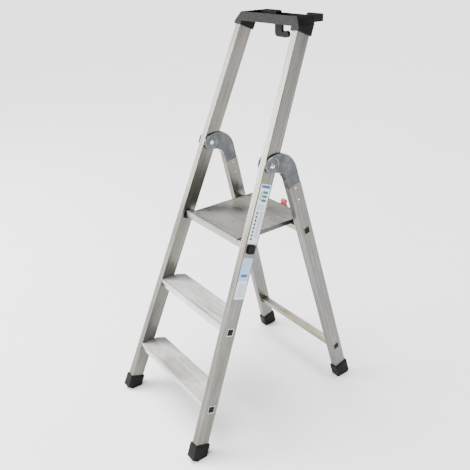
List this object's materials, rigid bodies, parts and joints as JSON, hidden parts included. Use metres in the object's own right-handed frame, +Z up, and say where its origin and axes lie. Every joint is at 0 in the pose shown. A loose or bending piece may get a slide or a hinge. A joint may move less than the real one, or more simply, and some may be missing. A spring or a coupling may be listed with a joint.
{
  "type": "step ladder",
  "caption": "Folding aluminium platform step ladder with leaning stiles, ribbed treads, hinged rear frame, tilting platform with lever lock, tool tray and bucket hook.",
  "frame": {"origin": "on the floor at the middle of the ladder's footprint", "axes": "+Z up, +Y towards the rear legs, +X to the climber's right; the climber faces +Y"},
  "size_m": [0.4838, 0.742, 1.3315],
  "materials": {
    "extruded_aluminium": "mill-finish extrusion",
    "ribbed_aluminium": "mill-finish, ribbed",
    "cast_alloy": "satin die casting",
    "plated_steel": "zinc plated",
    "black_plastic": "moulded",
    "tray_plastic": "fine grained moulding",
    "nylon": "moulded",
    "rubber_shoe": "moulded rubber",
    "label_film": "printed film, no lettering",
    "red_plastic": "moulded"
  },
  "bodies": {
    "front_frame": {"front_stile_right": "extruded_aluminium", "front_stile_left": "extruded_aluminium", "step_lower": "ribbed_aluminium", "step_upper": "ribbed_aluminium", "step_end_plugs": "black_plastic", "pivot_caps": "black_plastic", "pivot_flanges": "black_plastic", "pivot_bolts": "plated_steel", "front_shoe_right": "rubber_shoe", "front_shoe_left": "rubber_shoe", "tool_tray": "tray_plastic", "tray_screws": "plated_steel", "bucket_hook": "black_plastic", "hook_screws": "plated_steel", "hinge_bolts": "plated_steel", "hinge_nuts": "plated_steel", "hinge_washers": "nylon", "label_upper": "label_film", "label_lower": "label_film"},
    "rear_frame": {"hinge_casting_right": "cast_alloy", "hinge_casting_left": "cast_alloy", "casting_rivets": "plated_steel", "rear_leg_right": "extruded_aluminium", "rear_leg_left": "extruded_aluminium", "upper_cross_tube": "extruded_aluminium", "lower_cross_tube": "extruded_aluminium", "cross_tube_plugs": "black_plastic", "rear_shoe_right": "rubber_shoe", "rear_shoe_left": "rubber_shoe"},
    "platform": {"platform_deck": "ribbed_aluminium", "platform_front_beam": "extruded_aluminium", "platform_rail_right": "extruded_aluminium", "platform_rail_left": "extruded_aluminium", "platform_bushes": "black_plastic", "platform_saddles": "black_plastic", "platform_rivets": "plated_steel", "latch_bracket": "extruded_aluminium", "latch_pin": "plated_steel"},
    "latch": {"latch_lever": "red_plastic"}
  },
  "joints": [
    {"name": "rear_frame_fold", "type": "hinge", "parent": "front_frame", "child": "rear_frame", "pos_m": [0, 0.01833, 0.923], "axis": [-1, 0, 0], "range_deg": [0, 36]},
    {"name": "platform_tilt", "type": "hinge", "parent": "front_frame", "child": "platform", "pos_m": [0, -0.07902, 0.6765], "axis": [1, 0, 0], "range_deg": [0, 68]},
    {"name": "latch_swing", "type": "hinge", "parent": "platform", "child": "latch", "pos_m": [0.018, 0.21048, 0.6875], "axis": [-1, 0, 0], "range_deg": [0, 20]}
  ]
}
